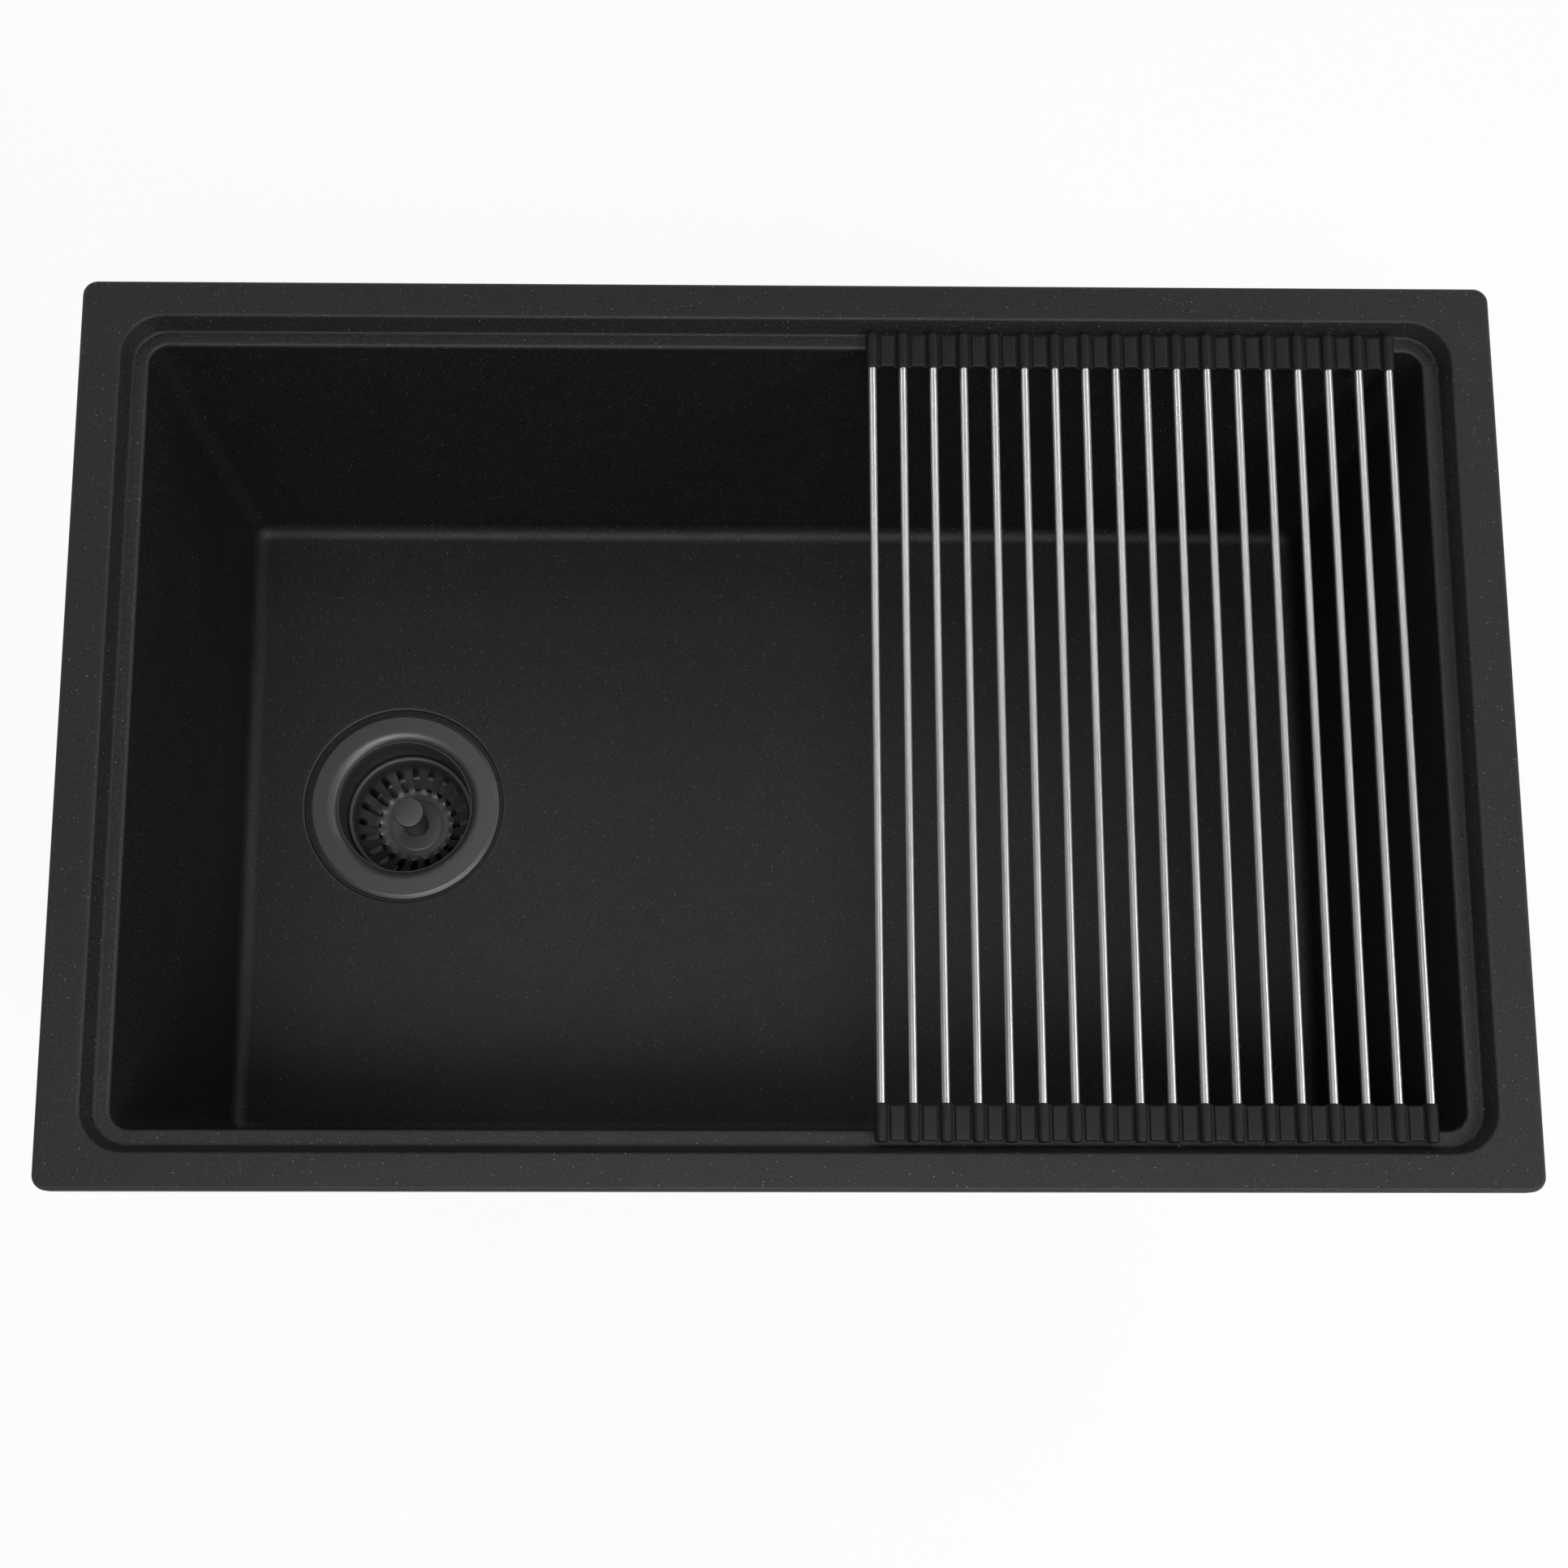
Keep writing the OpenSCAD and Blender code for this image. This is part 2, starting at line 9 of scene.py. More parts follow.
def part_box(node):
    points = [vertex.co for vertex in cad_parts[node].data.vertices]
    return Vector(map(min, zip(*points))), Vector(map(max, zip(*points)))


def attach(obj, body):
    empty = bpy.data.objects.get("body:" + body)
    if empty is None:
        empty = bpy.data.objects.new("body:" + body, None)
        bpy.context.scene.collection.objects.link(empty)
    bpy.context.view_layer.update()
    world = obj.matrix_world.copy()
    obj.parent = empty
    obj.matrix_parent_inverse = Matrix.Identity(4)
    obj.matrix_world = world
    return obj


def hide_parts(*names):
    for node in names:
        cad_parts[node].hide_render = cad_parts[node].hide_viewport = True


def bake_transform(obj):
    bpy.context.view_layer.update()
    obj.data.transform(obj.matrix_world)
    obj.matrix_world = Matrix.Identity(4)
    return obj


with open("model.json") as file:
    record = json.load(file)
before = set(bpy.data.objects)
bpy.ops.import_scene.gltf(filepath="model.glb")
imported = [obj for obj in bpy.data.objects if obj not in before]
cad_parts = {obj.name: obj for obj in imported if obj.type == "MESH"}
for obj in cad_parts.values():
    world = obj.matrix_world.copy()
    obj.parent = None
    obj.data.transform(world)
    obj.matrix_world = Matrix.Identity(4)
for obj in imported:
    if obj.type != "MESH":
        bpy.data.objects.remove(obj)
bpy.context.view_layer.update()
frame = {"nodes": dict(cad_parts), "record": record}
nodes = frame["nodes"]
print("frame loaded:", len(nodes), "nodes")

mm = 0.001
white = (1, 1, 1, 1)

# heights and places are in mm, z = 0 is the worktop
sink = {"halfX": 381, "halfY": 245, "rimTop": 9, "rimCorner": 8, "ledge": -0.5, "floor": -213, "under": -222}
drain = {"x": -238, "y": 12, "z": -213}


# camera at the photo's angle
photo = {"side": 1932, "focal": 2280.165, "u": 902.04, "v": 1229.75}
lens = bpy.data.cameras.new("photo_camera")
lens.sensor_width = 36
lens.lens = photo["focal"] * 36 / photo["side"]
lens.shift_x = (photo["side"] / 2 - photo["u"]) / photo["side"]
lens.shift_y = (photo["v"] - photo["side"] / 2) / photo["side"]
camera = bpy.data.objects.new("photo_camera", lens)
camera.location = (-0.03914, -0.29222, 0.94034)
camera.rotation_euler = (0.15476, -0.009895, 0.000619)
bpy.context.scene.collection.objects.link(camera)
bpy.context.scene.camera = camera


# node helpers
def addNode(tree, kind, inputs=None, **settings):
    node = tree.nodes.new(kind)
    for key, value in settings.items():
        setattr(node, key, value)
    for key, value in (inputs or {}).items():
        if isinstance(value, bpy.types.NodeSocket):
            tree.links.new(value, node.inputs[key])
        else:
            node.inputs[key].default_value = value
    return node


def newMaterial(name, **values):
    made = bpy.data.materials.new(name)
    made.use_nodes = True
    tree = made.node_tree
    shader = tree.nodes["Principled BSDF"]
    for key, value in values.items():
        shader.inputs[key.replace("_", " ")].default_value = value
    place = addNode(tree, "ShaderNodeTexCoord").outputs["Object"]
    return made, tree, shader, place


def stretched(tree, place, scale):
    return addNode(tree, "ShaderNodeMapping", {"Vector": place, "Scale": scale}).outputs["Vector"]


def noise(tree, place, scale, detail=3, rough=0.5):
    return addNode(tree, "ShaderNodeTexNoise",
                   {"Vector": place, "Scale": scale, "Detail": detail, "Roughness": rough}).outputs["Fac"]


def remap(tree, value, lowIn, highIn, lowOut, highOut):
    return addNode(tree, "ShaderNodeMapRange", {"Value": value, "From Min": lowIn, "From Max": highIn,
                                                "To Min": lowOut, "To Max": highOut}).outputs["Result"]


def mixColour(tree, factor, low, high):
    node = tree.nodes.new("ShaderNodeMix")
    node.data_type = "RGBA"
    for socket, value in ((node.inputs[0], factor), (node.inputs[6], low), (node.inputs[7], high)):
        if isinstance(value, bpy.types.NodeSocket):
            tree.links.new(value, socket)
        else:
            socket.default_value = value
    return node.outputs[2]


def maths(tree, operation, first, second=0.0):
    node = addNode(tree, "ShaderNodeMath", operation=operation)
    for socket, value in zip(node.inputs, (first, second)):
        if isinstance(value, bpy.types.NodeSocket):
            tree.links.new(value, socket)
        else:
            socket.default_value = value
    return node.outputs[0]


def bump(tree, shader, height, strength, distance):
    made = addNode(tree, "ShaderNodeBump", {"Height": height, "Strength": strength, "Distance": distance})
    tree.links.new(made.outputs["Normal"], shader.inputs["Normal"])


def grey(value, blue=1.0):
    return (value, value, value * blue, 1)


# materials
def stoneComposite():
    made, tree, shader, place = newMaterial("black_stone", Specular_IOR_Level=0.38)
    grain = noise(tree, place, 1300, 4, 0.6)
    cloud = noise(tree, place, 60, 3)
    sand = noise(tree, place, 900, 1, 0.5)
    base = mixColour(tree, remap(tree, grain, 0.35, 0.7, 0, 1), grey(0.0035, 1.08), grey(0.0085, 1.14))
    base = mixColour(tree, remap(tree, sand, 0.5, 0.72, 0, 1), base, grey(0.017, 1.1))
    fleck = addNode(tree, "ShaderNodeTexVoronoi", {"Vector": place, "Scale": 420.0})
    dot = remap(tree, fleck.outputs["Distance"], 0.06, 0.16, 1, 0)
    rare = addNode(tree, "ShaderNodeSeparateColor", {"Color": fleck.outputs["Color"]}).outputs["Red"]
    chosen = maths(tree, "MULTIPLY", dot, remap(tree, rare, 0.6, 1.0, 0, 1))
    speckled = mixColour(tree, chosen, base, grey(0.22))
    edge = addNode(tree, "ShaderNodeNewGeometry").outputs["Pointiness"]
    painted_edge_highlight = remap(tree, edge, 0.505, 0.545, 0, 0.8)  # painted highlight: the rounded edges get a lighter colour that stands in for their specular highlights
    tree.links.new(mixColour(tree, painted_edge_highlight, speckled, grey(0.04, 1.08)), shader.inputs["Base Color"])
    fine = remap(tree, grain, 0.2, 0.8, 0.5, 0.62)
    broad = remap(tree, cloud, 0.3, 0.7, -0.03, 0.03)
    tree.links.new(maths(tree, "ADD", fine, broad), shader.inputs["Roughness"])
    bump(tree, shader, grain, 0.7, 0.0002)
    return made


def coatedMetal():
    made, tree, shader, place = newMaterial("gunmetal", Specular_IOR_Level=1.0)
    grain = noise(tree, place, 2600, 3, 0.6)
    base = mixColour(tree, remap(tree, grain, 0.35, 0.7, 0, 1), grey(0.014), grey(0.034, 1.06))
    tree.links.new(base, shader.inputs["Base Color"])
    tree.links.new(remap(tree, grain, 0.2, 0.8, 0.36, 0.5), shader.inputs["Roughness"])
    bump(tree, shader, grain, 0.5, 0.00009)
    return made


def siliconeRubber(name="silicone", base=0.009):
    made, tree, shader, place = newMaterial(name, Specular_IOR_Level=0.22)
    grain = noise(tree, place, 1800, 3, 0.6)
    cloud = noise(tree, place, 120, 2)
    tone = mixColour(tree, remap(tree, cloud, 0.3, 0.7, 0, 1), grey(base * 0.85, 1.1), grey(base * 1.15, 1.1))
    tree.links.new(tone, shader.inputs["Base Color"])
    tree.links.new(remap(tree, grain, 0.2, 0.8, 0.48, 0.62), shader.inputs["Roughness"])
    bump(tree, shader, grain, 0.2, 0.00005)
    return made


def brushedSteel(name, base, scale, rough, tint=1.0):
    # scale stretches the brushing lines along one axis
    made, tree, shader, place = newMaterial(name, Metallic=1.0)
    lines = noise(tree, stretched(tree, place, scale), 1.0, 5, 0.65)
    tone = mixColour(tree, remap(tree, lines, 0.3, 0.7, 0, 1), grey(base * 0.85, tint), grey(base, tint))
    tree.links.new(tone, shader.inputs["Base Color"])
    tree.links.new(remap(tree, lines, 0.25, 0.75, rough - 0.06, rough + 0.08), shader.inputs["Roughness"])
    bump(tree, shader, lines, 0.15, 0.00003)
    return made


def zincPlate():
    made, tree, shader, place = newMaterial("zinc", Metallic=1.0)
    cloud = noise(tree, place, 220, 4, 0.6)
    tone = mixColour(tree, cloud, (0.42, 0.43, 0.46, 1), (0.62, 0.62, 0.6, 1))
    tree.links.new(tone, shader.inputs["Base Color"])
    tree.links.new(remap(tree, cloud, 0.3, 0.7, 0.24, 0.4), shader.inputs["Roughness"])
    bump(tree, shader, noise(tree, place, 900, 3), 0.1, 0.00004)
    return made


def turnedBrass():
    made, tree, shader, place = newMaterial("brass", Metallic=1.0)
    lines = noise(tree, stretched(tree, place, (60, 60, 4000)), 1.0, 3)
    tone = mixColour(tree, lines, (0.55, 0.38, 0.14, 1), (0.75, 0.56, 0.24, 1))
    tree.links.new(tone, shader.inputs["Base Color"])
    tree.links.new(remap(tree, lines, 0.3, 0.7, 0.25, 0.4), shader.inputs["Roughness"])
    bump(tree, shader, lines, 0.2, 0.00004)
    return made


def mouldedPlastic():
    made, tree, shader, place = newMaterial("white_plastic", Specular_IOR_Level=0.5)
    grain = noise(tree, place, 1500, 3)
    tone = mixColour(tree, noise(tree, place, 90, 2), grey(0.62), grey(0.74))
    tree.links.new(tone, shader.inputs["Base Color"])
    tree.links.new(remap(tree, grain, 0.3, 0.7, 0.4, 0.55), shader.inputs["Roughness"])
    bump(tree, shader, grain, 0.15, 0.00005)
    return made


looks = {
    "black_stone": stoneComposite(),
    "gunmetal": coatedMetal(),
    "silicone": siliconeRubber(),
    "rubber": siliconeRubber("rubber", 0.012),
    "rod_steel": brushedSteel("rod_steel", 0.7, (1400, 8, 1400), 0.36),
    "steel": brushedSteel("steel", 0.6, (900, 900, 3000), 0.26),
    "zinc": zincPlate(),
    "brass": turnedBrass(),
    "white_plastic": mouldedPlastic(),
}
for part in frame["record"]["subparts"]:
    shown = nodes[part["node"]]
    shown.data.materials.clear()
    shown.data.materials.append(looks[part["material_slot"]])
print("materials made:", len(looks))


# mesh helpers
def addPiece(name, points, faces, slot, sharp=35):
    mesh = bpy.data.meshes.new(name)
    mesh.from_pydata([(x * mm, y * mm, z * mm) for x, y, z in points], [], faces)
    shape = bmesh.new()
    shape.from_mesh(mesh)
    bmesh.ops.remove_doubles(shape, verts=shape.verts, dist=1e-7)
    bmesh.ops.recalc_face_normals(shape, faces=shape.faces)
    shape.to_mesh(mesh)
    shape.free()
    mesh.shade_smooth()
    mesh.set_sharp_from_angle(angle=math.radians(sharp))
    mesh.materials.append(looks[slot])
    made = bpy.data.objects.new(name, mesh)
    bpy.context.scene.collection.objects.link(made)
    return made


def skin(rings, closed=False):
    # quads between rings of equal length
    count = len(rings[0])
    points = [p for ring in rings for p in ring]
    faces = []
    last = len(rings) if closed else len(rings) - 1
    for k in range(last):
        low, high = k * count, (k + 1) % len(rings) * count
        faces += [(low + i, low + (i + 1) % count, high + (i + 1) % count, high + i) for i in range(count)]
    return points, faces


def bend(before, corner, after, radius, count):
    # arc that rounds a corner of a section
    b, c, a = Vector(before), Vector(corner), Vector(after)
    u, v = (b - c).normalized(), (a - c).normalized()
    half = math.acos(max(-1, min(1, u.dot(v)))) / 2
    start, stop = c + u * radius / math.tan(half), c + v * radius / math.tan(half)
    centre = c + (u + v).normalized() * radius / math.sin(half)
    a0 = math.atan2(start.y - centre.y, start.x - centre.x)
    turn = math.atan2(stop.y - centre.y, stop.x - centre.x) - a0
    turn -= round(turn / math.tau) * math.tau
    angles = [a0 + turn * i / count for i in range(count + 1)]
    return [(centre.x + radius * math.cos(angle), centre.y + radius * math.sin(angle)) for angle in angles]


def held(parts, edge=0.5, middle=()):
    # joins bends into one section, with a point just past both ends of each straight run
    path = list(parts[0])
    for part in parts[1:]:
        a, b = Vector(path[-1]), Vector(part[0])
        run = b - a
        if run.length > 3 * edge:
            near = edge / run.length
            path += [tuple(a + run * t) for t in (near, *middle, 1 - near)]
        path += list(part)
    return path


def softened(points, radius, count=3, closed=True):
    # rounds the corners of a section
    made = []
    for i, corner in enumerate(points):
        before, after = points[i - 1], points[(i + 1) % len(points)]
        if not closed and i in (0, len(points) - 1):
            made.append(corner)
            continue
        u, v = Vector(before) - Vector(corner), Vector(after) - Vector(corner)
        half = u.angle(v) / 2
        reach = min(radius / math.tan(half), 0.45 * min(u.length, v.length)) if half < 1.5 else 0
        made += bend(before, corner, after, reach * math.tan(half), count) if reach > 1e-3 else [corner]
    return made


def lathe(section, centre, segments=96, closed=True, along="Z"):
    # turns a section of (radius, height) about an axis
    rings = []
    for k in range(segments):
        c, s = math.cos(math.tau * k / segments), math.sin(math.tau * k / segments)
        ring = []
        for r, h in section:
            x, y, z = (r * c, r * s, h) if along == "Z" else (r * s, h, r * c)
            ring.append((centre[0] + x, centre[1] + y, centre[2] + z))
        rings.append(ring)
    points, faces = skin(rings, closed=True)
    if not closed:
        size = len(section)
        faces = [f for i, f in enumerate(faces) if i % size != size - 1]
    return points, faces


def joined(*shapes):
    points, faces = [], []
    for more, sides in shapes:
        faces += [tuple(i + len(points) for i in side) for side in sides]
        points += more
    return points, faces


# bowl: one closed skin from the drain hole over the floor, walls and rim, and back below
step = {"x": 359, "front": -226, "back": 225, "run": 4.5, "mouth": 12.5, "corner": 23, "edge": 1.8}
wall = {"thick": 8, "side": 8, "end": 14, "fillet": 9, "underFillet": 14}
hole = {"radius": 45, "seat": 63.5, "seatDepth": 3, "pad": 71, "padZ": -225}


def cornerRadius(inset, z, off):
    lean = step["mouth"] + wall["side"] * (sink["ledge"] - z) / (sink["ledge"] - sink["floor"])
    if inset <= step["mouth"] - off:
        return step["corner"] - inset
    return max(1, step["corner"] - step["mouth"] + off - max(0, inset + off - lean))


def bowlRect(inset, z, off=0):
    fall = max(0, sink["ledge"] - z) / (sink["ledge"] - sink["floor"])
    end = inset + (wall["end"] - wall["side"]) * fall
    return (-step["x"] + inset, step["x"] - inset, step["front"] + end, step["back"] - end,
            cornerRadius(inset, z, off), z)


def rimRect(inset, z):
    return (-sink["halfX"] + inset, sink["halfX"] - inset, -sink["halfY"] + inset, sink["halfY"] - inset,
            max(1, sink["rimCorner"] - inset), z)


cornerSteps = 8
spread = math.radians(2.6)


def sideFractions():
    # places along the four sides that stand at equal angles from the drain
    x0, x1, y0, y1, r, z = bowlRect(step["mouth"] + wall["side"], sink["floor"])
    corners = [((x1 - r, y1), (x0 + r, y1)), ((x0, y1 - r), (x0, y0 + r)),
               ((x0 + r, y0), (x1 - r, y0)), ((x1, y0 + r), (x1, y1 - r))]
    found = []
    for start, stop in corners:
        a = Vector((start[0] - drain["x"], start[1] - drain["y"]))
        b = Vector((stop[0] - drain["x"], stop[1] - drain["y"]))
        turn = math.atan2(a.x * b.y - a.y * b.x, a.dot(b))
        count = max(6, round(turn / spread))
        side = []
        for i in range(1, count):
            angle = math.atan2(a.y, a.x) + turn * i / count
            ray = Vector((math.cos(angle), math.sin(angle)))
            run = b - a
            side.append((a.x * ray.y - a.y * ray.x) / (run.y * ray.x - run.x * ray.y))
        found.append(side)
    return found


fractions = sideFractions()


def cornerCentres(x0, x1, y0, y1, r):
    return [(x1 - r, y1 - r), (x0 + r, y1 - r), (x0 + r, y0 + r), (x1 - r, y0 + r)]


def cornerArc(q, centre, r, z, steps):
    # quarter turn number q of a rounded rectangle
    angles = [math.pi / 2 * (q + i / steps) for i in range(steps + 1)]
    return [(centre[0] + r * math.cos(angle), centre[1] + r * math.sin(angle), z) for angle in angles]


def rectRing(x0, x1, y0, y1, r, z):
    centres = cornerCentres(x0, x1, y0, y1, r)
    ring = []
    for q, centre in enumerate(centres):
        arc = cornerArc(q, centre, r, z, cornerSteps)
        ring += arc
        nx, ny = centres[(q + 1) % 4]
        angle = math.pi / 2 * (q + 1)
        stop = (nx + r * math.cos(angle), ny + r * math.sin(angle))
        ring += [(arc[-1][0] + (stop[0] - arc[-1][0]) * t, arc[-1][1] + (stop[1] - arc[-1][1]) * t, z)
                 for t in fractions[q]]
    return ring


floorRing = rectRing(*bowlRect(step["mouth"] + wall["side"], sink["floor"]))
bearings = [math.atan2(y - drain["y"], x - drain["x"]) for x, y, z in floorRing]


def drainRing(radius, z):
    return [(drain["x"] + radius * math.cos(a), drain["y"] + radius * math.sin(a), z) for a in bearings]


def between(ringA, ringB, t):
    return [tuple(p + (q - p) * t for p, q in zip(a, b)) for a, b in zip(ringA, ringB)]


def sinkBowl():
    top, foot, mouth = (0, sink["rimTop"]), (step["run"], sink["ledge"]), (step["mouth"], sink["ledge"])
    bottom = (step["mouth"] + wall["side"], sink["floor"])
    inner = held([bend((-100, sink["rimTop"]), top, foot, step["edge"], 6),
                  bend(top, foot, mouth, step["edge"], 6),
                  bend(foot, mouth, bottom, step["edge"], 6)])
    fillet = bend(mouth, bottom, (bottom[0] + 100, bottom[1]), wall["fillet"], 12)
    inner = held([inner, fillet], 0.6, (0.1, 0.3, 0.5, 0.7, 0.9))
    inner.reverse()
    z, bore, seat = sink["floor"], hole["radius"], hole["seat"]
    seatZ = z - hole["seatDepth"]
    rings = [drainRing(bore, hole["padZ"]), drainRing(bore, seatZ - 0.4), drainRing(bore + 0.4, seatZ),
             drainRing(seat - 0.5, seatZ), drainRing(seat, seatZ + 0.5), drainRing(seat, z - 0.9),
             drainRing(seat + 0.3, z - 0.25), drainRing(seat + 0.9, z)]
    start = drainRing(seat + 1.6, z)
    edge = rectRing(*bowlRect(inner[0][0] + 0.6, z))
    rings += [between(start, edge, t) for t in (0, 0.12, 0.3, 0.55, 0.8, 1)]
    rings += [rectRing(*bowlRect(i, h)) for i, h in inner]
    outer = bend((0, 0), (0, 9), (100, 9), 2, 6)
    outer.reverse()
    rings += [rectRing(*bowlRect(-4.5, sink["rimTop"])), rectRing(*rimRect(2.6, sink["rimTop"]))]
    rings += [rectRing(*rimRect(i, h)) for i, h in outer]
    # down the rim's edge, along its underside and up into the sealant groove
    brim = [(0, 6.4), (0, 1), (0, 0.4), (0.4, 0), (1, 0), (8.4, 0), (9, 0), (9, 1.5), (9.6, 1.5)]
    rings += [rectRing(*rimRect(i, h)) for i, h in brim]
    under = [(-3.5, 1.5), (-3.5, 1), (-3.5, -8), (-3.5, -8.5), (-3, -9.13), (4, -17.9)]
    low = bend((4.5, -18.5), (12.5, sink["under"]), (112.5, sink["under"]), wall["underFillet"], 12)
    under += held([[(4.5, -18.5)], low], 0.8, (0.3, 0.6))
    rings += [rectRing(*bowlRect(i, h, wall["thick"])) for i, h in under]
    last, pad = rings[-1], drainRing(hole["pad"] + 0.8, sink["under"])
    rings += [between(last, pad, t) for t in (0.05, 0.4, 0.8, 1)]
    rings += [drainRing(hole["pad"], sink["under"]), drainRing(hole["pad"], hole["padZ"] + 0.5),
              drainRing(hole["pad"] - 0.5, hole["padZ"]), drainRing(hole["radius"] + 0.6, hole["padZ"])]
    return skin(rings, closed=True)


# x, y and turn in degrees of each clip's boss
clipPlaces = [(-230, 228, 90), (230, 228, 90), (-230, -229, -90), (230, -229, -90),
              (-362, -0.5, 180), (362, -0.5, 0)]
boss = {"front": 5.5, "half": 7, "corner": 1.2}
# inset, back edge and height of each ring; the top stays inside the rim and the ledge
bossRings = [(1.2, -8.5, -26.2), (0.4, -8.5, -26.1), (0.1, -8.5, -25.8), (0, -8.5, -25), (0, -8.5, -3),
             (0, -2, -2.5), (0, -2, 1.45)]


def clipBoss():
    rings = []
    for inset, back, z in bossRings:
        half = boss["half"] - inset
        centres = cornerCentres(back + inset, boss["front"] - inset, -half, half, boss["corner"])
        rings.append([point for q, centre in enumerate(centres)
                      for point in cornerArc(q, centre, boss["corner"], z, 4)])
    points, faces = skin(rings)
    count = len(rings[0])
    faces += [tuple(range(count - 1, -1, -1)), tuple(range(len(points) - count, len(points)))]
    return points, faces


def placed(points, place):
    spin = Matrix.Rotation(math.radians(place[2]), 3, "Z")
    return [tuple(spin @ Vector(p) + Vector((place[0], place[1], 0))) for p in points]


points, faces = sinkBowl()
for place in clipPlaces:
    more, sides = clipBoss()
    faces += [tuple(i + len(points) for i in side) for side in sides]
    points += placed(more, place)
bowl = addPiece("bowl_skin", points, faces, "black_stone")
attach(bowl, "sink")
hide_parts("sink_bowl")
print("bowl:", len(faces), "faces")


# strainer: flange, throat and threaded body, with the spider that guides the post
drainAt = (drain["x"], drain["y"], drain["z"])
strainer = {"edge": 61, "lip": -2.3, "top": 0.3, "throat": 41.6, "shoulder": -30.8, "cup": 39, "base": -64,
            "neck": -84, "neckBore": 20, "neckOut": 23.5}
thread = {"first": -44.8, "pitch": 2, "turns": 21, "root": 42.5, "crest": 43}
spider = {"bore": 3.6, "hub": 6.5, "low": -75, "high": -71, "half": 1.5}


def strainerBody():
    edge, lip, top, throat = strainer["edge"], strainer["lip"], strainer["top"], strainer["throat"]
    shoulder, cup, base = strainer["shoulder"], strainer["cup"], strainer["base"]
    rim = softened([(edge - 4, lip), (edge, lip), (edge, top - 1.2), (edge - 2.7, top), (throat + 12, top)],
                   0.35, 4, closed=False)[1:-1]
    turn = bend((edge, top), (throat, top), (throat, -50), 7.5, 16)
    seat = [(throat, shoulder + 0.6), (throat - 0.6, shoulder), (cup, shoulder)]
    low = bend((cup, shoulder), (cup - 0.6, base), (0, base), 4, 8)
    foot, bore, out = strainer["neck"], strainer["neckBore"], strainer["neckOut"]
    neck = softened([(bore + 5, base), (bore, base), (bore, foot), (out, foot), (out, base - 2)],
                    0.5, 3, closed=False)[1:]
    outside = [(36.4, -66), (40.4, -62), (40.4, -45.6), (41.2, -44.8)]
    ridges = []
    for k in range(thread["turns"]):
        z, root, crest = thread["first"] + thread["pitch"] * k, thread["root"], thread["crest"]
        ridges += [(root, z), (crest, z + 0.7), (crest, z + 1.2), (root, z + 1.9)]
    flange = [(edge - 2.7, top), (edge - 3.4, top), (throat + 9, top)] + turn + [(throat, -10), (throat, -29)]
    section = rim[:-1] + flange + seat + low + neck + outside + ridges
    z0, z1, half = spider["low"], spider["high"], spider["half"]
    hubSection = [(spider["bore"], z0), (spider["hub"], z0), (spider["hub"], z1), (spider["bore"], z1)]
    hub = lathe(softened(hubSection, 0.5), drainAt, 48)
    bars = []
    for a in range(4):
        c, s = round(math.cos(a * math.pi / 2)), round(math.sin(a * math.pi / 2))
        rings = []
        for r in (5.5, 6.2, 12, 20.4):
            ring = softened([(-half, z0), (half, z0), (half, z1), (-half, z1)], 0.5)
            rings.append([(drain["x"] + c * r - s * w, drain["y"] + s * r + c * w, drain["z"] + z)
                          for w, z in ring])
        bars.append(skin(rings))
    return joined(lathe(section, drainAt, 144), hub, *bars)


body = addPiece("strainer_shell", *strainerBody(), "gunmetal", sharp=50)
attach(body, "sink")
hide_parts("strainer_body")


# basket: pierced cup, rolled rim, plate, knob and post
basket = {"floor": -52, "sheet": 1.2, "stem": 3.6, "flat": 24, "coneTop": 37.2, "coneZ": -40, "wall": 38.6,
          "wallTop": -30, "slots": 20, "slotHalf": 2.2, "slotFrom": 23.7, "slotRun": 18.4}


def cupPath():
    # mid line of the cup's sheet from the stem outwards, as points with their length along it
    low = basket["floor"] - basket["sheet"] / 2
    stem, flat = (basket["stem"], low), (basket["flat"], low)
    cone, top = (basket["coneTop"], basket["coneZ"]), (basket["wall"], basket["wallTop"])
    line = [stem] + bend(stem, flat, cone, 3.5, 6) + bend(flat, cone, top, 3, 4) + [top]
    lengths = [0.0]
    for a, b in zip(line, line[1:]):
        lengths.append(lengths[-1] + math.dist(a, b))
    return line, lengths


def cupPoint(line, lengths, u):
    for i in range(len(line) - 1):
        if u <= lengths[i + 1] or i == len(line) - 2:
            t = (u - lengths[i]) / (lengths[i + 1] - lengths[i])
            return tuple(p + (q - p) * t for p, q in zip(line[i], line[i + 1]))


